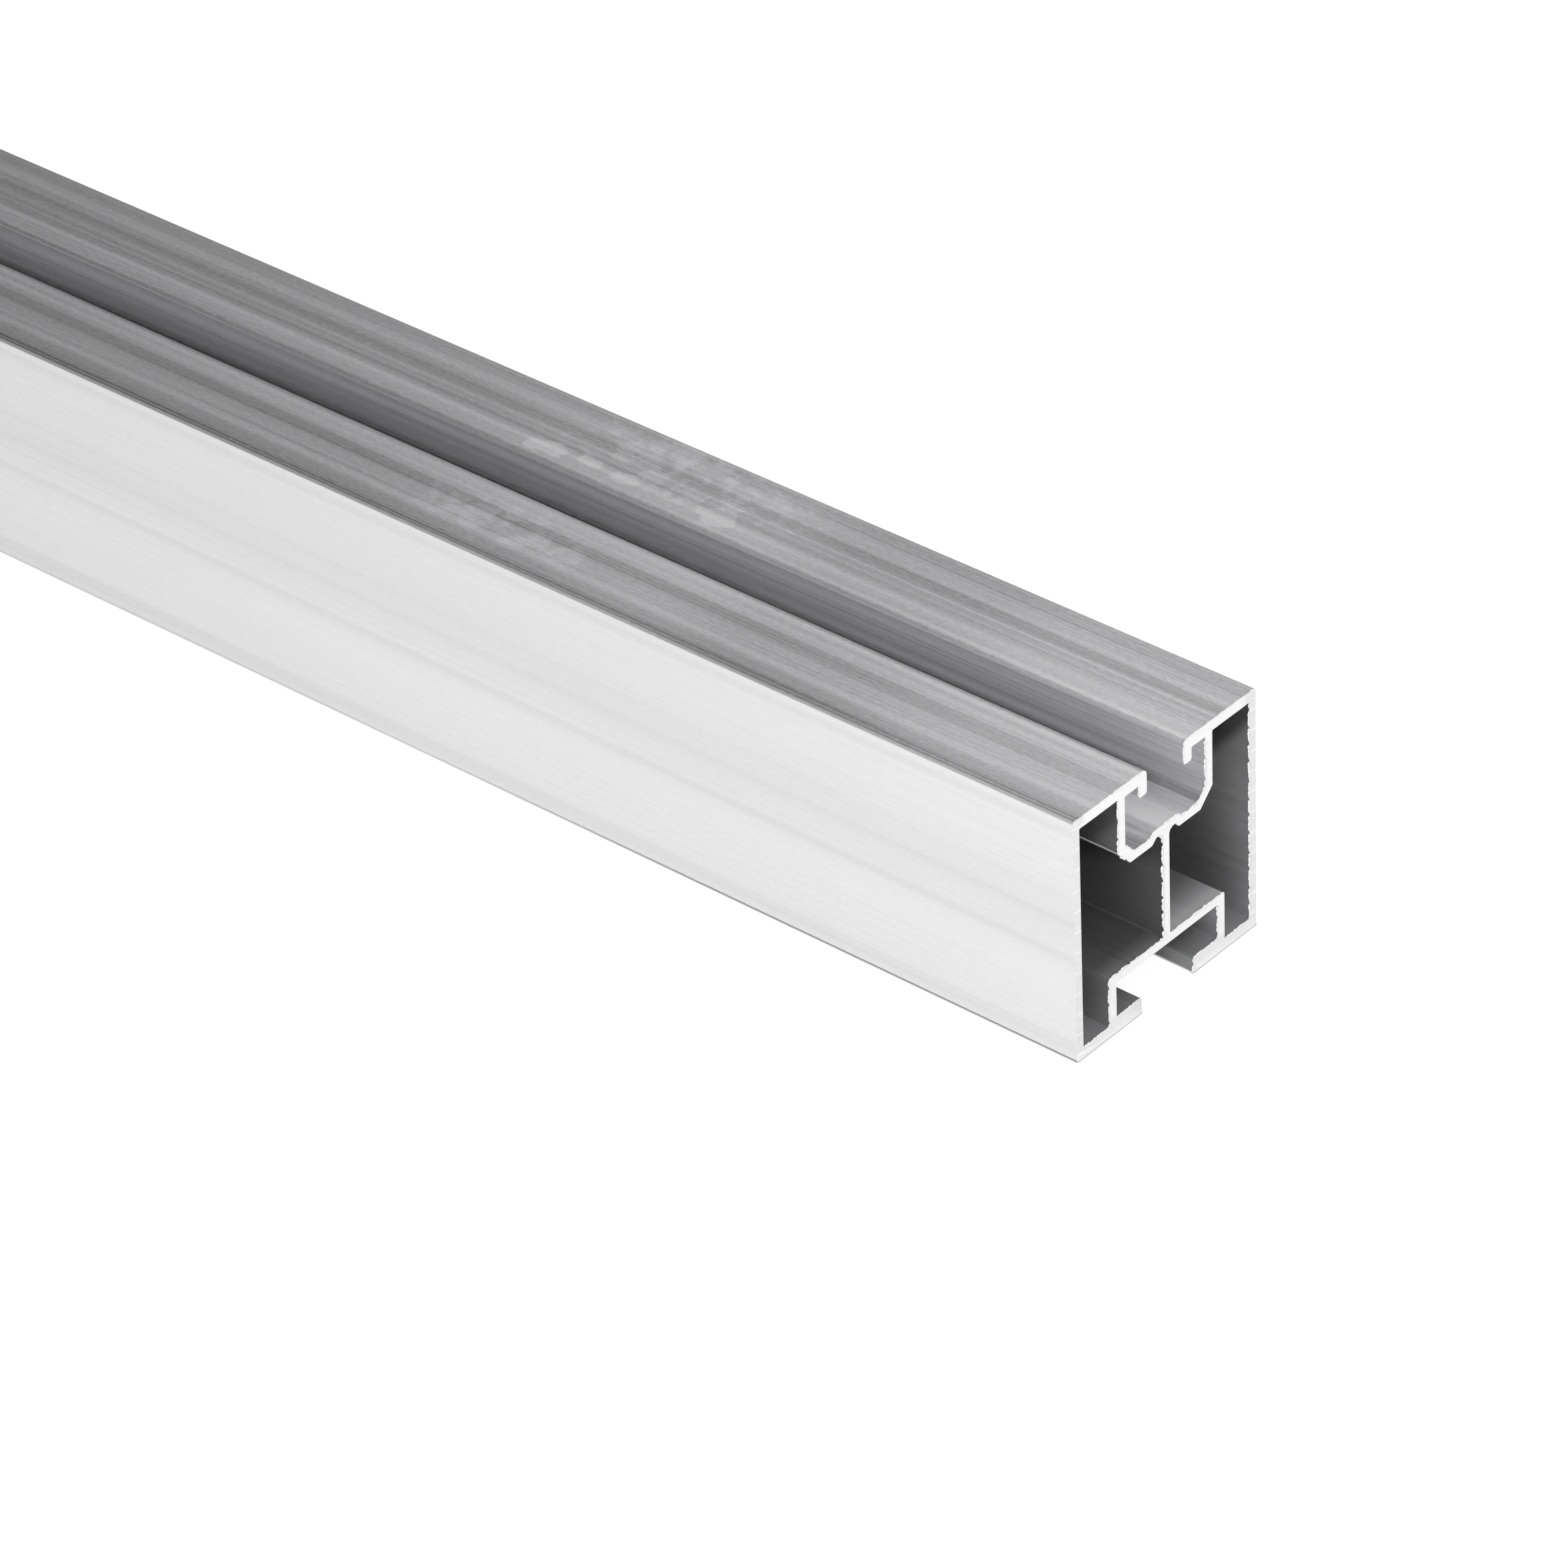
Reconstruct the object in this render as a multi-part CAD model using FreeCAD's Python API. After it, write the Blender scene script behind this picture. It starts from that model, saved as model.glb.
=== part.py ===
import FreeCAD, Part
import math
import os

# Overall sizes of the rail, in millimetres
length = 1100.0
width = 40.0
height = 40.0

# Outside walls of the hollow section
side_wall = 1.4
top_wall = 1.7
bottom_wall = 1.65
corner_radius = 0.4

# Top slot, which takes the clamps and the sliding nuts
top_mouth = 8.1
top_slot_width = 17.7
top_slot_depth = 12.0
top_lip_plate = 1.95
hook_thickness = 1.7
hook_drop = 4.0
hook_shoulder_radius = 0.9
hook_tip_radius = 0.4

# Trough that closes the top slot below
trough_wall = 1.45
trough_floor = 1.4
trough_chamfer = 1.9
ridge_width = 5.5
ridge_rise = 0.7
ridge_ramp = 0.45

# Web that joins the two troughs, and the rounded recess under the ridge where it roots
web_thickness = 1.35
recess_width = 4.2
recess_rise = 0.85
recess_ramp = 0.95
recess_radius = 0.4
web_root_radius = 1.1

# Bottom slot, which takes the heads of the roof hook bolts
bottom_mouth = 11.6
bottom_slot_width = 22.6
bottom_slot_depth = 8.35
bottom_lip = 2.5
bottom_trough_wall = 1.5
bottom_trough_plate = 1.4
bottom_trough_radius = 0.5

# Small radii that the die leaves, and the least straight side that is drawn between two of them
inner_fillet = 0.25
edge_break = 0.25
least_side = 0.000001


def half_angle(before, corner, after):
    """Half of the angle between the two sides that meet at a corner."""
    return (before - corner).getAngle(after - corner) / 2


def rounding(before, corner, after, reach):
    """The two ends and the middle of the arc that takes this much of both sides of a corner."""
    into = (before - corner).normalize()
    out = (after - corner).normalize()
    angle = half_angle(before, corner, after)
    bisector = (into + out).normalize()
    depth = reach / math.cos(angle) - reach * math.tan(angle)
    return corner + into * reach, corner + bisector * depth, corner + out * reach


def closed_outline(corners):
    """A closed face across the rail, from corners given as (y, z, radius)."""
    points = [FreeCAD.Vector(-length / 2, y, z) for y, z, radius in corners]
    count = len(points)
    corner_points = [(points[i - 1], points[i], points[(i + 1) % count]) for i in range(count)]
    reaches = [corners[i][2] / math.tan(half_angle(*corner_points[i])) for i in range(count)]
    # Two neighbouring roundings that don't both fit on the side between them shrink in proportion.
    fits = []
    for i in range(count):
        side = points[i].distanceToPoint(points[i - 1])
        fits.append(min(1, side / (reaches[i - 1] + reaches[i])))
    arcs = []
    for i in range(count):
        fit = min(fits[i], fits[(i + 1) % count])
        arcs.append(rounding(*corner_points[i], reaches[i] * fit))
    edges = []
    for i, (start, middle, end) in enumerate(arcs):
        edges.append(Part.Arc(start, middle, end).toShape())
        following = arcs[(i + 1) % count][0]
        if end.distanceToPoint(following) > least_side:
            edges.append(Part.LineSegment(end, following).toShape())
    return Part.Face(Part.Wire(edges))


def mirrored(corners):
    """The same corners on the other side of the rail's middle plane, in reverse order."""
    return [(-y, z, radius) for y, z, radius in reversed(corners)]


def top_slot_corners():
    """Right half of the top slot, from the ridge on its floor up to its mouth."""
    floor = height - top_slot_depth
    ceiling = height - top_lip_plate
    hook_tip = height - hook_drop
    wall = top_slot_width / 2
    mouth = top_mouth / 2
    ridge = ridge_width / 2
    return [
        (ridge, floor + ridge_rise, edge_break),
        (ridge + ridge_ramp, floor, edge_break),
        (wall - trough_chamfer, floor, inner_fillet),
        (wall, floor + trough_chamfer, inner_fillet),
        (wall, ceiling, inner_fillet),
        (mouth + hook_thickness, ceiling, inner_fillet),
        (mouth + hook_thickness, hook_tip, hook_tip_radius),
        (mouth, hook_tip, hook_tip_radius),
        (mouth, height, hook_shoulder_radius),
    ]


def bottom_slot_corners():
    """Right half of the bottom slot, from its mouth up to its ceiling."""
    wall = bottom_slot_width / 2
    mouth = bottom_mouth / 2
    return [
        (mouth, 0, edge_break),
        (mouth, bottom_lip, edge_break),
        (wall, bottom_lip, inner_fillet),
        (wall, bottom_slot_depth, inner_fillet),
    ]


def outside_face():
    """The whole section with its two open slots, before the chambers are taken out."""
    side = width / 2
    outer_edges = [(side, height, corner_radius), (side, 0, corner_radius)]
    right_half = top_slot_corners() + outer_edges + bottom_slot_corners()
    return closed_outline(right_half + mirrored(right_half))


def chamber_corners():
    """The closed chamber on the right, between the side wall, the web and the two troughs."""
    side = width / 2 - side_wall
    ceiling = height - top_wall
    trough_side = top_slot_width / 2 + trough_wall
    trough_under = height - top_slot_depth - trough_floor
    slanted_wall = trough_wall * math.sqrt(2)
    outer_chamfer = trough_chamfer + trough_wall + trough_floor - slanted_wall
    recess_side = recess_width / 2
    recess_ceiling = trough_under + recess_rise
    web_side = web_thickness / 2
    plate_top = bottom_slot_depth + bottom_trough_plate
    lower_side = bottom_slot_width / 2 + bottom_trough_wall
    return [
        (trough_side, ceiling, inner_fillet),
        (trough_side, trough_under + outer_chamfer, inner_fillet),
        (trough_side - outer_chamfer, trough_under, inner_fillet),
        (recess_side + recess_ramp, trough_under, recess_radius),
        (recess_side, recess_ceiling, recess_radius),
        (web_side, recess_ceiling, web_root_radius),
        (web_side, plate_top, inner_fillet),
        (lower_side, plate_top, bottom_trough_radius),
        (lower_side, bottom_wall, inner_fillet),
        (side, bottom_wall, inner_fillet),
        (side, ceiling, inner_fillet),
    ]


def rail():
    """The extruded rail: one hollow section along X, with both ends sawn square."""
    right = chamber_corners()
    chambers = [closed_outline(right), closed_outline(mirrored(right))]
    section = outside_face().cut(chambers)
    return section.Faces[0].extrude(FreeCAD.Vector(length, 0, 0))


os.makedirs("parts", exist_ok=True)
piece = rail()
piece.exportStep("parts/rail.step")
print("section area", round(piece.Volume / length, 2), "mm2")
print("valid", piece.isValid(), "solids", len(piece.Solids), "faces", len(piece.Faces))
print("box", piece.BoundBox)
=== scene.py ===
import math
from types import SimpleNamespace

import bmesh
import bpy
from mathutils import Matrix, Vector


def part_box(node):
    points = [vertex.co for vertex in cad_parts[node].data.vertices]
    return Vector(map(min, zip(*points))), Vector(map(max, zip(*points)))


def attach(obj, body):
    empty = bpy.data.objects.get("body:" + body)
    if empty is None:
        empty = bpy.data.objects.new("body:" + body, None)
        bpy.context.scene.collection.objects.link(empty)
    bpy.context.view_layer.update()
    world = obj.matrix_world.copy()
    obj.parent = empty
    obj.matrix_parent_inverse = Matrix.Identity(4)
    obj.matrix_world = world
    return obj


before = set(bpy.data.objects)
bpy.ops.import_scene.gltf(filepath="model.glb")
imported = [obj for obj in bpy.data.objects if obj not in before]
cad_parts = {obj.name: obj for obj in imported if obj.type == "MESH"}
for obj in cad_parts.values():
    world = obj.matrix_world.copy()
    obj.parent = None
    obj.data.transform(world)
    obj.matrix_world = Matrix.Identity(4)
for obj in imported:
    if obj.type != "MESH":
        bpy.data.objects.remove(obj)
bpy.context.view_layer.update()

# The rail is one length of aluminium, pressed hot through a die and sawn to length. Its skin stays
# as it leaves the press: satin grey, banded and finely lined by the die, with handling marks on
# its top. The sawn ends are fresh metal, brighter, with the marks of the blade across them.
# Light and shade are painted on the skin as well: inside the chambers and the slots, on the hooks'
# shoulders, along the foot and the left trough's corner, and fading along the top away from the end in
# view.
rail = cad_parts["rail"]
rail_low, rail_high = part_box("rail")
half_length = rail_high.x
half_width = rail_high.y
rail_top = rail_high.z
end_skin = 0.00001
aluminium_grey = (0.817, 0.817, 0.834, 1)
side_grey = (0.820, 0.820, 0.820, 1)
fresh_cut_grey = (0.833, 0.833, 0.833)

# Lines that run along the skin: how wide they are, how far each runs, and their detail.
broad_lines = (0.0030, 2.0, 1)
fine_lines = (0.0007, 0.50, 2)
hair_lines = (0.00020, 0.08, 2)
score_lines = (0.00030, 0.16, 0)
metal_grain = (0.00022, 0.0011, 2)
# How much each kind makes up of the tone, the grain inside and on the outer faces, how dark the
# scores are, and how much calmer all of it is on the sides and in the shade.
broad_share, fine_share, hair_share = 0.14, 0.24, 0.40
grain_share, outer_grain_share = 0.20, 0.52
score_shade = (0.27, 0.34, -0.14, 0.0)
calm_share = 0.75

# Bands on the top, across the rail in metres, half as wide as, and how much paler they are away from
# the sawn end in view and close to it. Most were drawn by the die. The first, over the whole top, is
# painted light, paler close to the end in view. The band at the left hook's shoulder is painted shade
# and the one at the right hook's shoulder a painted highlight. Where a band's two strengths differ,
# that difference is painted light falling off along the rail.
top_bands_and_painted_light = (
    (0.0, 0.0500, -0.09, 0.05),
    (-0.0192, 0.0006, -0.28, -0.33),
    (-0.01945, 0.00010, -0.12, -0.14),
    (-0.01905, 0.00014, 0.12, 0.16),
    (-0.01875, 0.00010, -0.16, -0.14),
    (-0.0185, 0.0004, -0.10, -0.14),
    (-0.0175, 0.0016, -0.20, -0.14),
    (-0.0155, 0.0010, 0.03, 0.08),
    (-0.0118, 0.0012, -0.03, -0.05),
    (-0.0101, 0.0011, -0.28, -0.17),
    (-0.0089, 0.0004, -0.10, -0.10),
    (-0.0080, 0.0009, 0.10, 0.07),
    (-0.0058, 0.0008, 0.14, 0.09),
    (-0.0055, 0.0004, 0.04, 0.07),
    (-0.0047, 0.0004, -0.22, -0.30),
    (0.0050, 0.0004, 0.06, 0.20),
    (0.0070, 0.0012, 0.13, 0.04),
    (0.0089, 0.0006, -0.11, -0.11),
    (0.0100, 0.0009, -0.09, -0.01),
    (0.0106, 0.0004, -0.03, -0.20),
    (0.0127, 0.0011, -0.20, -0.28),
    (0.0136, 0.0003, 0.0, -0.10),
    (0.0143, 0.0009, -0.07, 0.08),
    (0.0157, 0.0014, 0.05, -0.08),
    (0.0183, 0.0014, -0.06, -0.18),
)
# Bands on the two sides, up from the floor; the one just above the floor is painted shade.
side_bands_and_foot_shade = (
    (0.0200, 0.0500, -0.02, -0.015),
    (0.0021, 0.0012, -0.05, -0.05),
    (0.0100, 0.0060, 0.035, 0.035),
    (0.0120, 0.0150, 0.00, -0.05),
    (0.0170, 0.0008, -0.055, -0.055),
    (0.0230, 0.0007, -0.025, -0.025),
    (0.0245, 0.0034, -0.03, -0.03),
    (0.0380, 0.0007, -0.055, -0.055),
)
# Painted light and shade on the floor of the upper slot, as bands across the rail.
slot_floor_painted_light = (
    (-0.0058, 0.0021, -0.30, -0.38),
    (0.0013, 0.0027, 0.25, 0.45),
    (0.0058, 0.0026, -0.15, 0.02),
)
# Painted shade on the hooks' faces, as bands up from the floor, deepest away from the end in view.
hook_painted_shade = (
    (0.0363, 0.0008, -0.20, 0.06),
    (0.0387, 0.0004, -0.12, -0.04),
)
# Painted light on the upper slot's right wall below its lip, as a band up from the floor.
slot_wall_painted_light = (
    (0.0347, 0.0024, 0.36, 0.36),
)
# Painted shade on the right hook's shoulder, as a band across the rail.
shoulder_painted_shade = (
    (0.0044, 0.0004, -0.36, -0.12),
)
# Bands across the top, along the rail.
length_bands = (
    (0.4520, 0.0300, 0.05, 0.05),
    (0.4960, 0.0200, -0.09, -0.09),
    (0.2050, 0.0240, 0.03, 0.03),
    (-0.3500, 0.0280, -0.05, -0.05),
)
# A band is whole up to the first share of its half width, and gone at the second.
band_edge = (0.4, 1.4)

# Pale marks where the top was handled: along and across the rail, half as long as, half as wide as.
pale_marks = (
    (0.4315, 0.0071, 0.0036, 0.0019),
    (0.4393, 0.0080, 0.0021, 0.0013),
    (0.4461, 0.0073, 0.0026, 0.0014),
    (0.4630, 0.0077, 0.0034, 0.0020),
)
# Places with a fainter mottling.
mottled_places = (
    (0.4530, 0.0135, 0.0190, 0.0060),
    (0.4405, -0.0122, 0.0150, 0.0038),
    (0.2050, 0.0110, 0.0240, 0.0060),
    (-0.0600, -0.0120, 0.0300, 0.0050),
    (-0.3500, 0.0130, 0.0260, 0.0060),
)
pale_edge, mottled_edge = 0.12, 0.4
mark_strength, mottle_share = 0.13, 0.85
outline_grains, outline_sway = 420, 1.4
mottle_grains = 360
mottle_range = (0.43, 0.56)

# How dull the skin is: all of it, and what the fine lines, the marks and the walls inside add. Then
# how strongly its lines stand out, and how much of its shine is that of bare metal.
skin_dullness = 0.26
fine_dullness, mark_dullness, inner_dullness = 0.16, 0.08, 0.22
relief_strength, relief_height, hair_relief = 0.5, 0.00002, 0.5
metal_share = 0.9

# How far the looks of the top, of the sides and of the end in view reach, in metres, and how deep
# under the side, the foot and the top a point counts as a wall inside.
top_edge = (0.0006, 0.0001)
side_edge = (0.0004, 0.0001)
near_reach = (0.140, -0.010)
side_skin, foot_skin, top_skin = 0.0006, 0.0001, 0.0010

# Where the walls of the section lie: heights above the floor, and distances from its middle plane.
slot_base = 0.0279
slot_floor_top = 0.0290
slot_floor_side = 0.0077
slot_side = 0.00895
slot_wall_side = 0.0086
slot_wall_foot = 0.0310
slot_wall_depth = (0.0015, 0.0050)
streak_side = 0.0067
hook_heights = (0.0355, 0.0392)
hook_side = 0.0043
shoulder_sides = (0.00395, 0.0050)
shoulder_foot = 0.0391
chamber_heights = (0.0017, 0.0390)
plate_heights = (0.0096, 0.0099)
plate_inner, plate_outer = 0.0009, 0.0127
web_heights = (0.0099, 0.0275)
web_side = 0.0030
lower_slot_side, lower_slot_top = 0.0114, 0.0084
lip_side, lip_top = 0.0059, 0.0024
# Where the painted highlight runs along the left trough's corner, its soft edge, and its tone.
glint_line_place = (-0.01029, 0.02934)
glint_line_edge = (0.00009, 0.00017, 1.0, 0.0)
glint_line_tone = 1.15


def wire(tree, kind, inputs=None, **settings):
    """Adds one node to a tree, with its settings and with each input linked or given a value."""
    node = tree.nodes.new(kind)
    for name, value in settings.items():
        setattr(node, name, value)
    for name, value in (inputs or {}).items():
        if isinstance(value, bpy.types.NodeSocket):
            tree.links.new(value, node.inputs[name])
        else:
            node.inputs[name].default_value = value
    return node


def calculate(tree, operation, *values):
    """One step of arithmetic on numbers or outputs of other nodes."""
    inputs = dict(enumerate(values))
    return wire(tree, "ShaderNodeMath", inputs, operation=operation).outputs[0]


def total(tree, *values):
    """All these values added up."""
    result = values[0]
    for value in values[1:]:
        result = calculate(tree, "ADD", result, value)
    return result


def product(tree, *values):
    """All these values multiplied."""
    result = values[0]
    for value in values[1:]:
        result = calculate(tree, "MULTIPLY", result, value)
    return result


def blend(tree, factor, low, high):
    """The number that lies as far between two others as the factor says."""
    return wire(tree, "ShaderNodeMix", {0: factor, 2: low, 3: high}).outputs[0]


def fade(tree, value, start, end, low=0.0, high=1.0):
    """A smooth change from low to high while a value goes from start to end."""
    inputs = {"Value": value, "From Min": start, "From Max": end, "To Min": low, "To Max": high}
    ramp = wire(tree, "ShaderNodeMapRange", inputs, interpolation_type="SMOOTHSTEP")
    return ramp.outputs["Result"]


def below(tree, value, limit):
    """One where a value is under a limit, zero elsewhere."""
    return calculate(tree, "LESS_THAN", value, limit)


def above(tree, value, limit):
    """One where a value is over a limit, zero elsewhere."""
    return calculate(tree, "GREATER_THAN", value, limit)


def between(tree, value, low, high):
    """One where a value lies between two others, zero elsewhere."""
    return product(tree, above(tree, value, low), below(tree, value, high))


def noise(tree, place, grains, detail):
    """Uneven tone with about this many grains in a metre."""
    inputs = {"Vector": place, "Scale": grains, "Detail": detail}
    return wire(tree, "ShaderNodeTexNoise", inputs).outputs["Fac"]


def drawn_lines(tree, place, width, run, detail):
    """Noise in lines along the rail: how wide they are and how far each runs, in metres."""
    stretched = wire(tree, "ShaderNodeMapping", {"Vector": place, "Scale": (width / run, 1, 1)})
    return noise(tree, stretched.outputs["Vector"], 1 / width, detail)


def shaded(tree, colour, tone):
    """A colour made lighter or darker by a tone near one."""
    return wire(tree, "ShaderNodeVectorMath", {0: colour, "Scale": tone}, operation="SCALE").outputs[0]


def surface_places(tree):
    """Where a point of the rail's surface lies, in the measures that its looks go by."""
    point = wire(tree, "ShaderNodeTexCoord").outputs["Object"]
    axes = wire(tree, "ShaderNodeSeparateXYZ", {"Vector": point}).outputs
    along = calculate(tree, "ABSOLUTE", axes["X"])
    sideways = calculate(tree, "ABSOLUTE", axes["Y"])
    on_top = fade(tree, axes["Z"], rail_top - top_edge[0], rail_top - top_edge[1])
    on_side = fade(tree, sideways, half_width - side_edge[0], half_width - side_edge[1])
    return SimpleNamespace(
        point=point, x=axes["X"], y=axes["Y"], height=axes["Z"], sideways=sideways,
        depth=calculate(tree, "SUBTRACT", half_length, along),
        # Close to the end in view, bands and the slot's streak take other strengths: painted light that
        # falls off along the rail.
        near=fade(tree, axes["X"], half_length - near_reach[0], half_length - near_reach[1]),
        on_end=above(tree, along, half_length - end_skin),
        on_top=on_top, on_side=on_side, outside=calculate(tree, "MAXIMUM", on_top, on_side))


def bands(tree, across, near, marks):
    """The sum of soft-edged bands, each at its own place across the rail."""
    tone = 0.0
    for middle, half, far_strength, near_strength in marks:
        away = calculate(tree, "ABSOLUTE", calculate(tree, "SUBTRACT", across, middle))
        strength = blend(tree, near, far_strength, near_strength)
        band = fade(tree, away, half * band_edge[0], half * band_edge[1], strength, 0)
        tone = calculate(tree, "ADD", tone, band)
    return tone


def patches(tree, at, wobble, edge, marks):
    """One on each of these oval patches of the top, with uneven outlines and edges as soft as given."""
    covered = 0.0
    for along, across, half_long, half_wide in marks:
        run = calculate(tree, "DIVIDE", calculate(tree, "SUBTRACT", at.x, along), half_long)
        side = calculate(tree, "DIVIDE", calculate(tree, "SUBTRACT", at.y, across), half_wide)
        away = total(tree, product(tree, run, run), product(tree, side, side))
        away = calculate(tree, "SQRT", away)
        patch = fade(tree, calculate(tree, "ADD", away, wobble), 1 - edge, 1 + edge, 1.0, 0.0)
        covered = calculate(tree, "MAXIMUM", covered, patch)
    return covered


def handling_marks(tree, at):
    """Pale flat marks with fainter mottling around them, where the top was handled."""
    uneven = noise(tree, at.point, outline_grains, 1)
    wobble = calculate(tree, "MULTIPLY_ADD", uneven, outline_sway, -outline_sway / 2)
    mottle = fade(tree, noise(tree, at.point, mottle_grains, 3), *mottle_range)
    faint = product(tree, mottle, patches(tree, at, wobble, mottled_edge, mottled_places))
    clear = patches(tree, at, wobble, pale_edge, pale_marks)
    return calculate(tree, "MAXIMUM", clear, product(tree, faint, mottle_share))


def walls_in_shade(tree, at):
    """One on the walls of the closed chambers and the lower slot, zero outside and in the upper slot."""
    inside = product(tree, below(tree, at.sideways, half_width - side_skin),
                     between(tree, at.height, foot_skin, rail_top - top_skin))
    upper_slot = product(tree, below(tree, at.sideways, slot_side), above(tree, at.height, slot_base))
    return product(tree, inside, calculate(tree, "SUBTRACT", 1.0, upper_slot))


# The light on the walls inside goes by the depth from a sawn end and by height. Each change is given
# by where it starts and ends, in metres, and how light the wall is at both.
wall_light = (-0.0020, 0.0110, 0.77, 0.48)
left_wall_light = (0.0, 0.0100, 0.57, 0.82)
left_foot_heights, left_foot_light = (0.0093, 0.0097), 0.78
left_head_heights, left_head_light = (0.0265, 0.0285), 0.82
right_plate_light = (-0.0010, 0.0080, 1.85, 0.88)
left_plate_light = (0.0, 0.0038, 1.40, 0.76)
left_plate_sides = (-0.0110, -0.0060, 1.10, 0.92)
lower_slot_light = (0.0020, 0.0100, 0.93, 0.52)
lip_light = 0.60
# The shade under the top, and on the web under the trough, slants down as it goes in: by how much in
# each metre, and between which heights it sets in at the end.
top_shade_slant, top_shade_start = 1.1, (0.0330, 0.0365)
top_shade_heights = (0.0240, 0.0280)
right_top_shade, left_top_shade = 0.35, 0.58
root_shade_slant, root_shade = 0.4, (0.0215, 0.0250, 1.0, 0.62)


def light_in_chambers(tree, at, left):
    """How light the chambers' walls are: palest close to an end, darkest in the corner under the top."""
    wall = fade(tree, at.depth, *wall_light)
    top_shade = blend(tree, left, right_top_shade, left_top_shade)
    top_shade = fade(tree, at.height, *top_shade_heights, 1.0, top_shade)
    under_top = calculate(tree, "MULTIPLY_ADD", at.depth, top_shade_slant, at.height)
    wall = product(tree, wall, fade(tree, under_top, *top_shade_start, 1.0, top_shade))

    left_wall = fade(tree, at.depth, *left_wall_light)
    left_wall = fade(tree, at.height, *left_foot_heights, left_foot_light, left_wall)
    left_wall = fade(tree, at.height, *left_head_heights, left_wall, left_head_light)
    wall = product(tree, wall, blend(tree, left, 1.0, left_wall))

    web = product(tree, below(tree, at.sideways, web_side), between(tree, at.height, *web_heights))
    under_trough = calculate(tree, "MULTIPLY_ADD", at.depth, root_shade_slant, at.height)
    return product(tree, wall, blend(tree, web, 1.0, fade(tree, under_trough, *root_shade)))


def light_on_plate(tree, at):
    """How much paler the plate over the lower slot is than the walls: most close to an end."""
    at_plate = between(tree, at.height, *plate_heights)
    right = product(tree, between(tree, at.y, plate_inner, plate_outer), at_plate)
    left = product(tree, between(tree, at.y, -plate_outer, -plate_inner), at_plate)
    left_light = product(tree, fade(tree, at.y, *left_plate_sides),
                         fade(tree, at.depth, *left_plate_light))
    return product(tree, blend(tree, right, 1.0, fade(tree, at.depth, *right_plate_light)),
                   blend(tree, left, 1.0, left_light))


def light_in_lower_slot(tree, at):
    """How much darker the lower slot's walls are than the chambers', and the sides of its lips."""
    walls = product(tree, below(tree, at.sideways, lower_slot_side),
                    below(tree, at.height, lower_slot_top))
    lips = product(tree, below(tree, at.sideways, lip_side), below(tree, at.height, lip_top))
    return product(tree, blend(tree, walls, 1.0, fade(tree, at.depth, *lower_slot_light)),
                   blend(tree, lips, 1.0, lip_light))


# The streak is painted shade. Its foot: how dark by depth, where it starts to fade, and up to which
# height it has gone, away from the end in view and close to it. Then the fainter rest of it, and its
# soft lower edge.
streak_shade = (0.0060, 0.0130, 0.28, 0.62)
streak_foot = 0.0286
streak_foot_ends = (0.0304, 0.0295)
streak_rest = (0.0308, 0.0326, 0.17, 0.0)
streak_start = (0.02799, 0.02817)


def painted_streak_shade(tree, at):
    """Painted shade as a dark streak along the upper slot's right side, sharp at its foot, fading up the
    wall.
    """
    foot_end = blend(tree, at.near, *streak_foot_ends)
    foot = fade(tree, at.height, streak_foot, foot_end, fade(tree, at.depth, *streak_shade), 0.0)
    streak = total(tree, foot, fade(tree, at.height, *streak_rest))
    return product(tree, streak, fade(tree, at.height, *streak_start),
                   between(tree, at.y, streak_side, slot_side))


def slot_painted_light(tree, at):
    """Painted light and shade: how much paler or darker the upper slot's floor, wall and hooks are than
    the skin.
    """
    floor = product(tree, below(tree, at.sideways, slot_floor_side),
                    between(tree, at.height, slot_base, slot_floor_top))
    hooks = product(tree, below(tree, at.sideways, hook_side), between(tree, at.height, *hook_heights))
    shoulder = product(tree, between(tree, at.y, *shoulder_sides), above(tree, at.height, shoulder_foot))
    wall = product(tree, between(tree, at.y, slot_wall_side, slot_side),
                   above(tree, at.height, slot_wall_foot), fade(tree, at.depth, *slot_wall_depth))
    tone = total(tree, product(tree, bands(tree, at.y, at.near, slot_floor_painted_light), floor),
                 product(tree, bands(tree, at.height, at.near, hook_painted_shade), hooks),
                 product(tree, bands(tree, at.y, at.near, shoulder_painted_shade), shoulder),
                 product(tree, bands(tree, at.height, at.near, slot_wall_painted_light), wall))
    return calculate(tree, "SUBTRACT", tone, painted_streak_shade(tree, at))


def painted_glint_line(tree, at):
    """A painted highlight: a thin bright line, pale and not metallic, along the left trough's lower
    outside corner.
    """
    across = calculate(tree, "SUBTRACT", at.y, glint_line_place[0])
    up = calculate(tree, "SUBTRACT", at.height, glint_line_place[1])
    away = calculate(tree, "SQRT", total(tree, product(tree, across, across), product(tree, up, up)))
    return fade(tree, away, *glint_line_edge)


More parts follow.
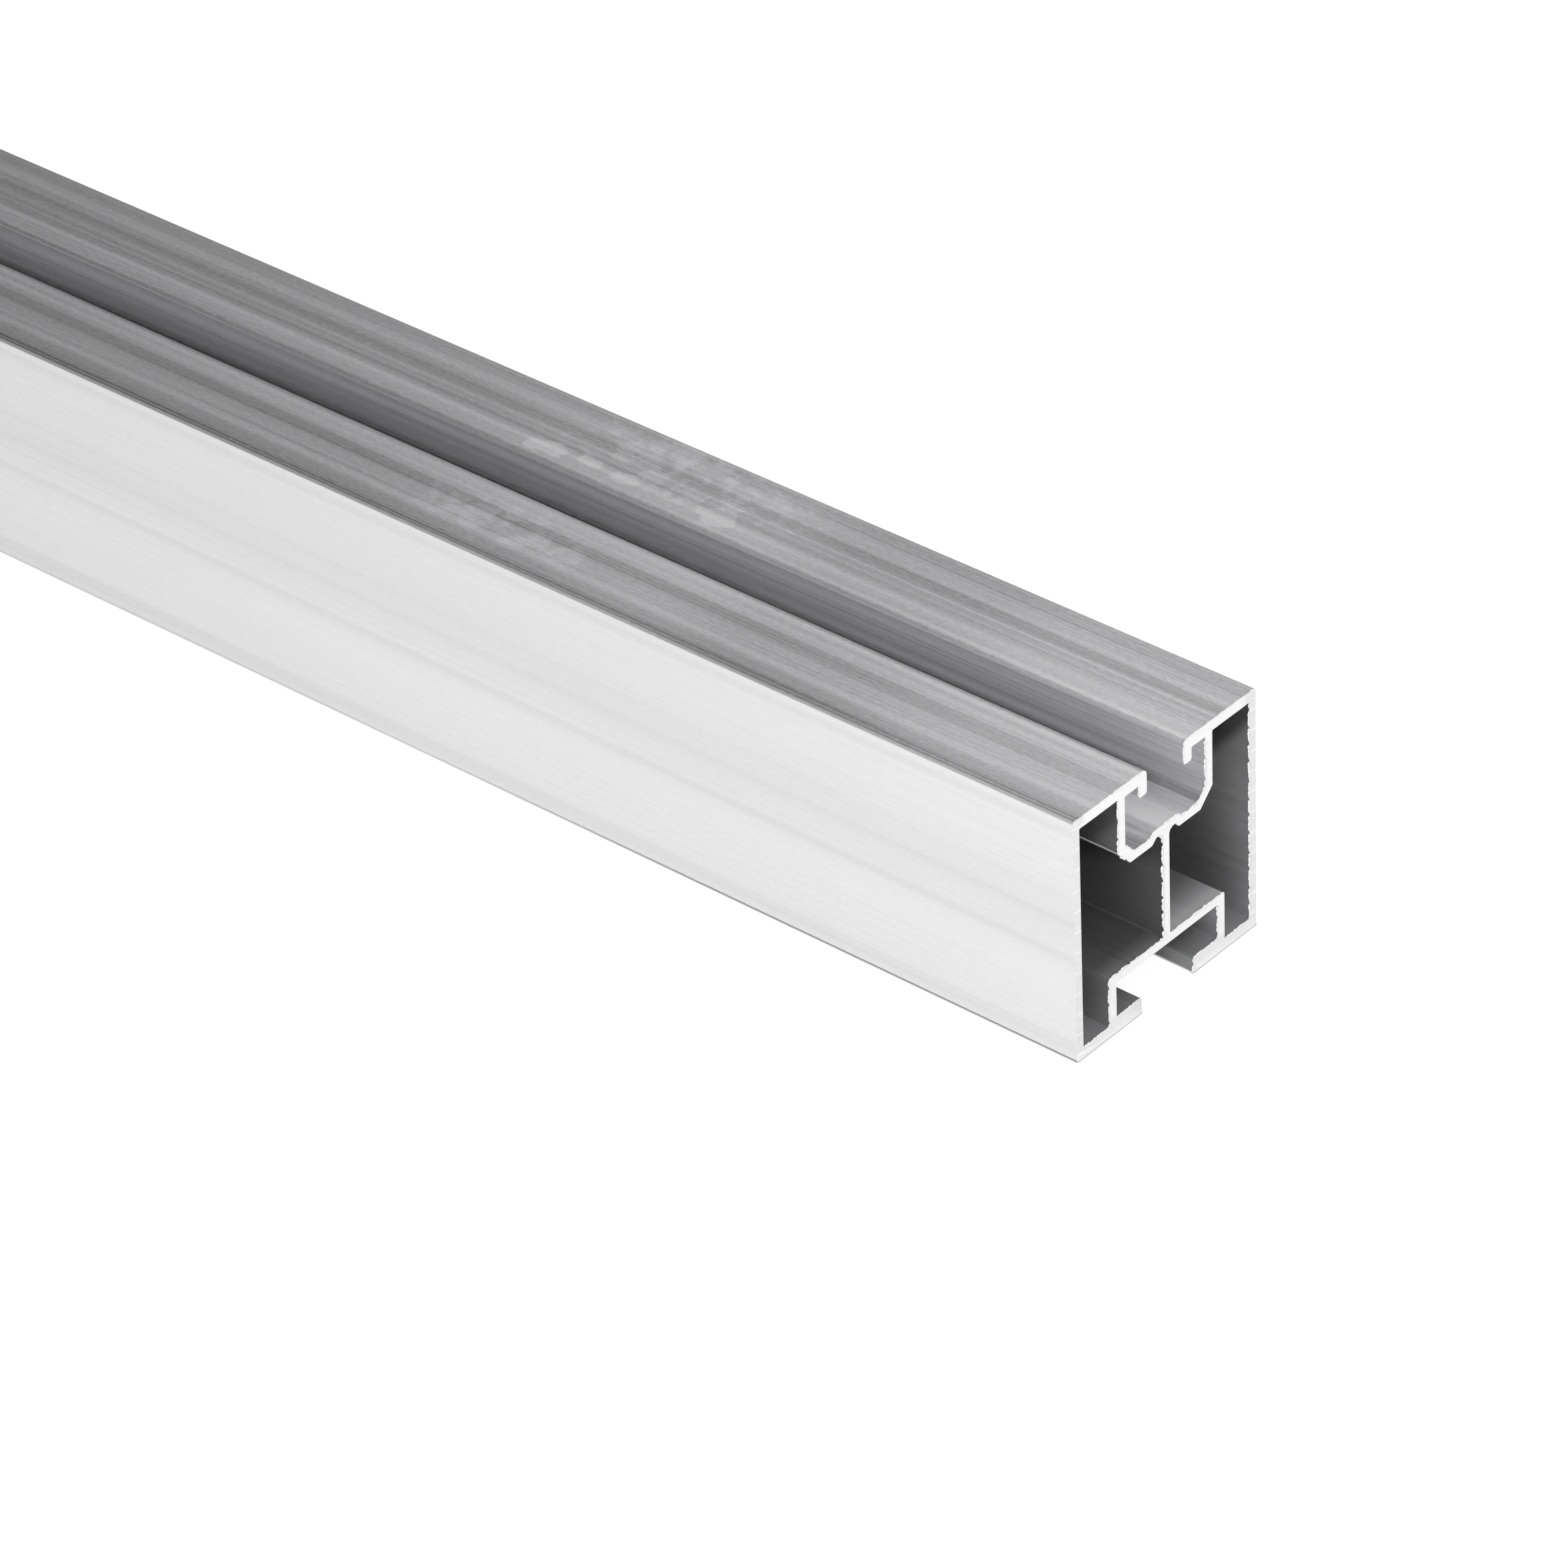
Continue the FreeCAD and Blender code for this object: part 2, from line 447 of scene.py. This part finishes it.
def pressed_skin(tree, at, bright_line):
    """The skin's colour, dullness and relief: press lines and grain, bands, marks, painted light and
    shade.
    """
    broad = drawn_lines(tree, at.point, *broad_lines)
    fine = drawn_lines(tree, at.point, *fine_lines)
    hairs = drawn_lines(tree, at.point, *hair_lines)
    scores = drawn_lines(tree, at.point, *score_lines)
    grain = drawn_lines(tree, at.point, *metal_grain)
    tone = 1.0 - (broad_share + fine_share + hair_share) / 2
    for pattern, share in ((broad, broad_share), (fine, fine_share), (hairs, hair_share)):
        tone = calculate(tree, "MULTIPLY_ADD", pattern, share, tone)
    speckle = product(tree, calculate(tree, "SUBTRACT", grain, 0.5),
                      blend(tree, at.outside, grain_share, outer_grain_share))
    tone = total(tree, tone, speckle, fade(tree, scores, *score_shade))
    in_shade = walls_in_shade(tree, at)
    calm = total(tree, product(tree, in_shade, calm_share), product(tree, at.on_side, calm_share))
    tone = blend(tree, calm, tone, 1.0)

    marks = handling_marks(tree, at)
    # The top's bands hold painted light and shade as well as the die's bands.
    top_tone = total(tree, bands(tree, at.y, at.near, top_bands_and_painted_light), bands(tree, at.x, at.near, length_bands))
    top_tone = product(tree, calculate(tree, "MULTIPLY_ADD", marks, mark_strength, top_tone), at.on_top)
    side_tone = product(tree, bands(tree, at.height, at.near, side_bands_and_foot_shade), at.on_side)
    tone = total(tree, tone, top_tone, side_tone, slot_painted_light(tree, at))
    left = product(tree, below(tree, at.y, 0.0), between(tree, at.height, *chamber_heights))
    inner_light = product(tree, light_in_chambers(tree, at, left), light_on_plate(tree, at),
                          light_in_lower_slot(tree, at))
    tone = product(tree, tone, blend(tree, in_shade, 1.0, inner_light))
    tone = blend(tree, bright_line, tone, glint_line_tone)
    grey = wire(tree, "ShaderNodeMix", {0: at.on_side, 6: aluminium_grey, 7: side_grey}, data_type="RGBA")

    dullness = calculate(tree, "MULTIPLY_ADD", fine, fine_dullness, skin_dullness)
    dullness = calculate(tree, "MULTIPLY_ADD", marks, mark_dullness, dullness)
    dullness = total(tree, dullness, blend(tree, at.outside, inner_dullness, 0.0))
    relief = calculate(tree, "MULTIPLY_ADD", hairs, hair_relief, fine)
    return shaded(tree, grey.outputs[2], tone), dullness, relief


# The blade's path over a sawn end: its slant, how far its wider marks lie apart, and how fine and how
# drawn out its scratches are. On the side walls its marks are clearer, and there and along the foot
# the metal is darker.
blade_slant = math.radians(8)
mark_pitch = 0.0034
mark_edge = (0.02, 0.10, 1, 0)
mark_clearness = (0.0150, 0.0175, 0.15, 1.0)
scratches_per_metre = 3000
scratch_stretch = 0.03
outer_wall_start = (0.0170, 0.0182)
foot_wall_end = (0.0022, 0.0034, 1.0, 0.0)
cut_tone, scratch_share, mark_share, outer_wall_shade = 0.92, 0.16, 0.10, -0.13
cut_dullness = 0.36


def sawn_face(tree, at):
    """A sawn end's colour and relief: fine scratches along the blade's path and its wider marks."""
    turned = wire(tree, "ShaderNodeMapping", {"Vector": at.point, "Rotation": (blade_slant, 0, 0)})
    turned = turned.outputs["Vector"]
    drawn_out = wire(tree, "ShaderNodeMapping", {"Vector": turned, "Scale": (1, scratch_stretch, 1)})
    scratches = noise(tree, drawn_out.outputs["Vector"], scratches_per_metre, 2)
    across = wire(tree, "ShaderNodeSeparateXYZ", {"Vector": turned}).outputs["Z"]
    step = calculate(tree, "FRACT", product(tree, across, 1 / mark_pitch))
    from_middle = calculate(tree, "ABSOLUTE", calculate(tree, "SUBTRACT", step, 0.5))
    mark = product(tree, fade(tree, from_middle, *mark_edge), fade(tree, at.sideways, *mark_clearness))
    outer_walls = calculate(tree, "MAXIMUM", fade(tree, at.sideways, *outer_wall_start),
                            fade(tree, at.height, *foot_wall_end))
    tone = calculate(tree, "MULTIPLY_ADD", scratches, scratch_share, cut_tone)
    tone = calculate(tree, "MULTIPLY_ADD", mark, mark_share, tone)
    tone = calculate(tree, "MULTIPLY_ADD", outer_walls, outer_wall_shade, tone)
    return shaded(tree, fresh_cut_grey, tone), total(tree, scratches, mark)


def mill_finish():
    """The rail's metal: drawn lines and painted light and shade on its long faces, saw marks on its two
    ends.
    """
    material = bpy.data.materials.new("mill_finish_aluminium")
    material.use_nodes = True
    tree = material.node_tree
    metal = tree.nodes["Principled BSDF"]
    at = surface_places(tree)
    bright_line = painted_glint_line(tree, at)
    skin, dullness, skin_relief = pressed_skin(tree, at, bright_line)
    cut, cut_relief = sawn_face(tree, at)
    colour = wire(tree, "ShaderNodeMix", {0: at.on_end, 6: skin, 7: cut}, data_type="RGBA")
    relief = blend(tree, at.on_end, skin_relief, cut_relief)
    bump = wire(tree, "ShaderNodeBump",
                {"Strength": relief_strength, "Distance": relief_height, "Height": relief})
    tree.links.new(colour.outputs[2], metal.inputs["Base Color"])
    tree.links.new(blend(tree, at.on_end, dullness, cut_dullness), metal.inputs["Roughness"])
    tree.links.new(bump.outputs["Normal"], metal.inputs["Normal"])
    tree.links.new(blend(tree, bright_line, metal_share, 0.0), metal.inputs["Metallic"])
    return material


rail.data.materials.clear()
rail.data.materials.append(mill_finish())

# A toothed blade sawed the ends square, and where it left the metal it dragged a ragged fringe of
# burr over the edge. Seen on the cut, the fringe stands out from the walls that face up or to the
# left, and its scallops are as long as the blade's advance from tooth to tooth.
burr_reach = 0.00055
burr_step = 0.00011
burr_wave = 0.00005
scallop_length = 0.0030
scallop_slant = 0.92
least_burr = 0.12
same_place = 0.000001
# Shares of the burr that walls facing up have, and the rail's outer edges, and rounded corners.
facing_up_share = 0.8
outer_edge, outer_edge_share = 0.0003, 0.5
corner_edge, corner_share = 0.00010, 0.4
# The blade left one hook's shoulder clean, and less burr than elsewhere on the other hook's face.
# Each is given by how far it reaches down from the top and its two distances from the middle.
clean_shoulder = (0.0009, 0.0040, 0.0052)
hook_face = (0.0045, 0.0035, 0.0046)
hook_face_share = 0.6
# The wedge of torn metal, in shares of its height: how deep it roots in the wall, and half of its
# thickness at the root and at the crest.
wedge_root, root_half, crest_half = 0.25, 0.16, 0.07
# The torn metal's grains in each metre, and its tone and dullness with what the grains add to both.
torn_grains = 2500
torn_tone, torn_tone_share = 0.88, 0.24
torn_dullness, torn_dullness_share = 0.32, 0.2
# Tears along the fringe, as their size in metres and their detail: those that throw the scallops out
# of step, break up their crests, raise and lower whole stretches, and sway them to and fro.
step_tears, step_share = (0.004, 0), 0.6
crest_tears, crest_range, crest_height = (0.00045, 3), (0.36, 0.62), 1.15
steep_gap, level_gap = 0.68, 0.45
stretch_tears, stretch_range = (0.0022, 1), (0.30, 0.55, 0.65, 1.1)
sway_tears = (0.0008, 1)
# A scallop's height along its length: its quick rise, its growth, and its sudden end.
scallop_rise = (0.0, 0.28, 0.10, 0.90)
scallop_growth, scallop_start = 0.3, 0.85
scallop_end = (0.95, 1.0, 1.0, 0.12)
# Walls that lean this much upwards count as level, and below these heights they have no scallops.
level_range = (0.3, 0.8)
low_range = (0.0030, 0.0090, 1.0, 0.0)
even_height = 0.85


def fresh_burr():
    """The burr's metal: bright and torn, a little rougher than the sawn face."""
    material = bpy.data.materials.new("torn_aluminium")
    material.use_nodes = True
    tree = material.node_tree
    metal = tree.nodes["Principled BSDF"]
    torn = noise(tree, wire(tree, "ShaderNodeTexCoord").outputs["Object"], torn_grains, 2)
    tone = calculate(tree, "MULTIPLY_ADD", torn, torn_tone_share, torn_tone)
    dullness = calculate(tree, "MULTIPLY_ADD", torn, torn_dullness_share, torn_dullness)
    tree.links.new(shaded(tree, fresh_cut_grey, tone), metal.inputs["Base Color"])
    tree.links.new(dullness, metal.inputs["Roughness"])
    metal.inputs["Metallic"].default_value = metal_share
    return material


def lies_on(middle, side, region):
    """Whether an edge's middle lies on a part of a hook that is given as above."""
    reach, inner, outer = region
    return middle.z > rail_top - reach and inner < middle.y * side < outer


def burr_share(edge, normal, side):
    """How strongly the blade dragged metal over one edge of a wall that faces this way."""
    middle = (edge.verts[0].co + edge.verts[1].co) / 2
    if lies_on(middle, -side, clean_shoulder):
        return 0.0
    share = min(1.0, max(-normal.y * side, 0.0) + facing_up_share * max(normal.z, 0.0))
    if abs(middle.y) > half_width - outer_edge or middle.z > rail_top - outer_edge:
        share *= outer_edge_share
    if edge.calc_length() < corner_edge:
        share *= corner_share
    if lies_on(middle, side, hook_face):
        share *= hook_face_share
    return share


def burred_edges(side):
    """The edges of one sawn end, side 1 or -1, as a mesh that says where and how far the burr leans."""
    metal = bmesh.new()
    metal.from_mesh(rail.data)
    bmesh.ops.remove_doubles(metal, verts=metal.verts, dist=same_place)
    metal.normal_update()
    leans = {}
    pairs = []
    for edge in metal.edges:
        if any(abs(v.co.x - side * half_length) > same_place for v in edge.verts):
            continue
        walls = [face for face in edge.link_faces if abs(face.normal.x) < 0.5]
        if len(walls) != 1 or len(edge.link_faces) != 2:
            continue
        normal = walls[0].normal
        share = burr_share(edge, normal, side)
        if share < least_burr:
            continue
        pairs.append([v.index for v in edge.verts])
        for vert in edge.verts:
            leans.setdefault(vert.index, []).append((vert.co.copy(), normal * share))
    order = {index: i for i, index in enumerate(leans)}
    mesh = bpy.data.meshes.new("sawn_edges")
    points = [found[0][0] for found in leans.values()]
    mesh.from_pydata(points, [(order[a], order[b]) for a, b in pairs], [])
    lean = mesh.attributes.new("lean", "FLOAT_VECTOR", "POINT")
    for item, found in zip(lean.data, leans.values()):
        item.vector = sum((vector for place, vector in found), Vector()) / len(found)
    metal.free()
    return mesh


def burr_height(tree, given, lean):
    """How tall the burr stands at a point: high along each scallop, broken up by tears of two sizes."""
    place = wire(tree, "GeometryNodeInputPosition").outputs[0]
    seed = wire(tree, "ShaderNodeCombineXYZ", {"X": given["Seed"]}).outputs[0]
    seeded = wire(tree, "ShaderNodeVectorMath", {0: place, 1: seed}, operation="ADD").outputs[0]

    def torn(size, detail):
        """Noise along the edge, with tears of about this size in metres."""
        return noise(tree, seeded, 1 / size, detail)

    axes = wire(tree, "ShaderNodeSeparateXYZ", {"Vector": place}).outputs
    blade = calculate(tree, "MULTIPLY_ADD", axes["Y"], -scallop_slant, axes["Z"])
    blade = calculate(tree, "DIVIDE", blade, given["Scallop"])
    blade = calculate(tree, "MULTIPLY_ADD", torn(*step_tears), step_share, blade)
    blade = calculate(tree, "FRACT", blade)
    scallop = product(tree, fade(tree, blade, *scallop_rise), fade(tree, blade, *scallop_end),
                      calculate(tree, "MULTIPLY_ADD", blade, scallop_growth, scallop_start))
    strength = wire(tree, "ShaderNodeVectorMath", {0: lean}, operation="LENGTH").outputs["Value"]
    lean_up = wire(tree, "ShaderNodeSeparateXYZ", {"Vector": lean}).outputs["Z"]
    level = fade(tree, calculate(tree, "DIVIDE", lean_up, strength), *level_range)
    low = fade(tree, axes["Z"], *low_range)
    scallop = blend(tree, product(tree, level, low), scallop, even_height)
    gap = blend(tree, level, steep_gap, level_gap)
    crest = fade(tree, torn(*crest_tears), *crest_range, gap, crest_height)
    stretch = fade(tree, torn(*stretch_tears), *stretch_range)
    sway = product(tree, calculate(tree, "SUBTRACT", torn(*sway_tears), 0.5), given["Wave"])
    return product(tree, given["Reach"], strength, scallop, crest, stretch), sway


def burr_tree():
    """Nodes that draw a wedge of torn metal along each edge, as tall as the blade left it there."""
    tree = bpy.data.node_groups.new("burr_fringe", "GeometryNodeTree")
    sockets = tree.interface
    sockets.new_socket("Edges", in_out="INPUT", socket_type="NodeSocketGeometry")
    for name in ("Reach", "Step", "Wave", "Scallop", "Seed"):
        sockets.new_socket(name, in_out="INPUT", socket_type="NodeSocketFloat")
    sockets.new_socket("Metal", in_out="INPUT", socket_type="NodeSocketMaterial")
    sockets.new_socket("Burr", in_out="OUTPUT", socket_type="NodeSocketGeometry")
    given = tree.nodes.new("NodeGroupInput").outputs

    curve = wire(tree, "GeometryNodeMeshToCurve", {"Mesh": given["Edges"]})
    curve = wire(tree, "GeometryNodeResampleCurve",
                 {"Curve": curve.outputs[0], "Length": given["Step"]}, mode="LENGTH")
    lean = wire(tree, "GeometryNodeInputNamedAttribute", {"Name": "lean"}, data_type="FLOAT_VECTOR")
    lean = lean.outputs["Attribute"]
    height, sway = burr_height(tree, given, lean)
    offset = wire(tree, "ShaderNodeCombineXYZ", {"X": sway}).outputs[0]
    curve = wire(tree, "GeometryNodeSetPosition", {"Geometry": curve.outputs[0], "Offset": offset})
    curve = wire(tree, "GeometryNodeSetCurveNormal",
                 {"Curve": curve.outputs[0], "Normal": lean}, mode="FREE")
    corners = {"Point 1": (-wedge_root, -root_half, 0), "Point 2": (1, -crest_half, 0),
               "Point 3": (1, crest_half, 0), "Point 4": (-wedge_root, root_half, 0)}
    wedge = wire(tree, "GeometryNodeCurvePrimitiveQuadrilateral", corners, mode="POINTS")
    burr = wire(tree, "GeometryNodeCurveToMesh",
                {"Curve": curve.outputs[0], "Profile Curve": wedge.outputs[0], "Scale": height,
                 "Fill Caps": True})
    burr = wire(tree, "GeometryNodeRealizeInstances", {"Geometry": burr.outputs[0]})
    burr = wire(tree, "GeometryNodeSetMaterial",
                {"Geometry": burr.outputs[0], "Material": given["Metal"]})
    wire(tree, "NodeGroupOutput", {"Burr": burr.outputs[0]})
    return tree


def burr_fringe(name, side, seed, tree, metal):
    """One sawn end's fringe as a plain closed mesh."""
    edges = bpy.data.objects.new("edges_of_" + name, burred_edges(side))
    bpy.context.scene.collection.objects.link(edges)
    modifier = edges.modifiers.new("fringe", "NODES")
    modifier.node_group = tree
    values = {"Reach": burr_reach, "Step": burr_step, "Wave": burr_wave,
              "Scallop": scallop_length, "Seed": seed, "Metal": metal}
    for item in tree.interface.items_tree:
        if item.name in values:
            modifier[item.identifier] = values[item.name]
    seen = edges.evaluated_get(bpy.context.evaluated_depsgraph_get())
    mesh = bpy.data.meshes.new_from_object(seen)
    bpy.data.objects.remove(edges)
    shell = bmesh.new()
    shell.from_mesh(mesh)
    bmesh.ops.recalc_face_normals(shell, faces=shell.faces)
    shell.to_mesh(mesh)
    shell.free()
    fringe = bpy.data.objects.new(name, mesh)
    bpy.context.scene.collection.objects.link(fringe)
    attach(fringe, "root")
    return fringe


torn_metal = fresh_burr()
fringe_tree = burr_tree()
burr_fringe("burr_near_end", 1, 0.0, fringe_tree, torn_metal)
burr_fringe("burr_far_end", -1, 0.37, fringe_tree, torn_metal)

# The floor is a plain white sheet, level and much wider than the rail is long. The rail lies on it
# unheld, and leaves only a thin contact shadow along its foot, painted darker close to the end in view.
floor_size = 60.0
seen_white = 0.93
mirrored_white = 0.27
matt_white, matt_share_seen = 0.90, 0.14
contact_reach = 0.0004
contact_light = (half_length - 0.125, half_length - 0.060, 0.45, 0.08)
bpy.ops.mesh.primitive_plane_add(size=floor_size, location=(0, 0, rail_low.z))
floor = bpy.context.object
floor.name = "floor"


def white_floor():
    """White to the camera and in reflections, with a share of plain matt white that takes shadows."""
    material = bpy.data.materials.new("white_floor")
    material.use_nodes = True
    tree = material.node_tree
    tree.nodes.clear()
    ray = wire(tree, "ShaderNodeLightPath").outputs
    mirrored = calculate(tree, "MAXIMUM", ray["Is Glossy Ray"], ray["Is Transmission Ray"])
    contact = wire(tree, "ShaderNodeAmbientOcclusion", {"Distance": contact_reach}, samples=8)
    place = wire(tree, "ShaderNodeTexCoord").outputs["Object"]
    along = wire(tree, "ShaderNodeSeparateXYZ", {"Vector": place}).outputs["X"]
    # The contact shadow comes from occlusion; how dark it may get is painted, darker towards the end in
    # view.
    darkest = fade(tree, along, *contact_light)
    contact = blend(tree, calculate(tree, "POWER", contact.outputs["AO"], 2.0), darkest, 1.0)
    glow = product(tree, ray["Is Camera Ray"], product(tree, contact, seen_white))
    glow = calculate(tree, "MULTIPLY_ADD", mirrored, mirrored_white, glow)
    glowing = wire(tree, "ShaderNodeEmission", {"Color": (1, 1, 1, 1), "Strength": glow})
    share = blend(tree, ray["Is Camera Ray"], matt_white, matt_share_seen)
    grey = wire(tree, "ShaderNodeCombineColor", {0: share, 1: share, 2: share}).outputs[0]
    matt = wire(tree, "ShaderNodeBsdfDiffuse", {"Color": grey})
    both = wire(tree, "ShaderNodeAddShader", {0: glowing.outputs[0], 1: matt.outputs[0]})
    wire(tree, "ShaderNodeOutputMaterial", {"Surface": both.outputs[0]})
    return material


floor.data.materials.append(white_floor())

# The room around it is white. It falls off to dark grey beyond the rail's far end, which the rail's
# top mirrors, with a slightly paler strip above the floor there, in line with the rail.
room_white = 0.74
far_grey = 0.02
far_edge = (-0.735, -0.385)
strip_white = 0.16
strip_sides = (0.25, 0.50, 1.0, 0.0)
strip_end = (-0.42, -0.30, 1.0, 0.0)
world = bpy.data.worlds.new("room")
bpy.context.scene.world = world
world.use_nodes = True
room = world.node_tree
room.nodes.clear()
direction = wire(room, "ShaderNodeTexCoord").outputs["Generated"]
toward = wire(room, "ShaderNodeSeparateXYZ", {"Vector": direction}).outputs
shade = fade(room, toward["X"], *far_edge, far_grey, room_white)
strip = product(room, fade(room, calculate(room, "ABSOLUTE", toward["Y"]), *strip_sides),
                fade(room, toward["X"], *strip_end), above(room, toward["Z"], 0.0))
shade = calculate(room, "MULTIPLY_ADD", strip, strip_white, shade)
rays = wire(room, "ShaderNodeLightPath").outputs
level = blend(room, rays["Is Camera Ray"], shade, 1.0)
air = wire(room, "ShaderNodeBackground", {"Color": (1, 1, 1, 1), "Strength": level})
wire(room, "ShaderNodeOutputWorld", {"Surface": air.outputs[0]})

# One soft square lamp hangs in front of the sawn end, above it and to the near side. It lights the
# cut and the mouths of the chambers, and its light falls off along the rail.
lamp_size = 0.30
lamp_energy = 1.0
lamp_data = bpy.data.lights.new("soft_lamp", "AREA")
lamp_data.shape = "SQUARE"
lamp_data.size = lamp_size
lamp_data.energy = lamp_energy
lamp = bpy.data.objects.new("soft_lamp", lamp_data)
bpy.context.scene.collection.objects.link(lamp)
lamp.location = (half_length + 0.30, -0.12, 0.32)
beam = Vector((half_length, 0, rail_low.z)) - lamp.location
lamp.rotation_euler = beam.to_track_quat("-Z", "Y").to_euler()
lamp.visible_camera = False

# The camera stands in front of the sawn end on its near side and looks down along the rail, so that
# the far part of the rail runs out of the picture. A long lens keeps the rail's edges nearly parallel.
azimuth = math.radians(42.22)
elevation = math.radians(35.15)
roll = math.radians(-2.88)
distance = 1.0158
focal_length = 165.2
sensor_width = 36
aim = Vector((half_length - 0.0710, 0, rail_low.z + 0.0063))
camera_data = bpy.data.cameras.new("camera")
camera = bpy.data.objects.new("camera", camera_data)
bpy.context.scene.collection.objects.link(camera)
bpy.context.scene.camera = camera
turn = Matrix.Rotation(azimuth, 3, "Z") @ Matrix.Rotation(math.pi / 2 - elevation, 3, "X")
turn = turn @ Matrix.Rotation(roll, 3, "Z")
camera.rotation_euler = turn.to_euler()
camera.location = aim + turn @ Vector((0, 0, distance))
camera_data.lens = focal_length
camera_data.sensor_width = sensor_width

scene = bpy.context.scene
scene.view_settings.view_transform = "Standard"
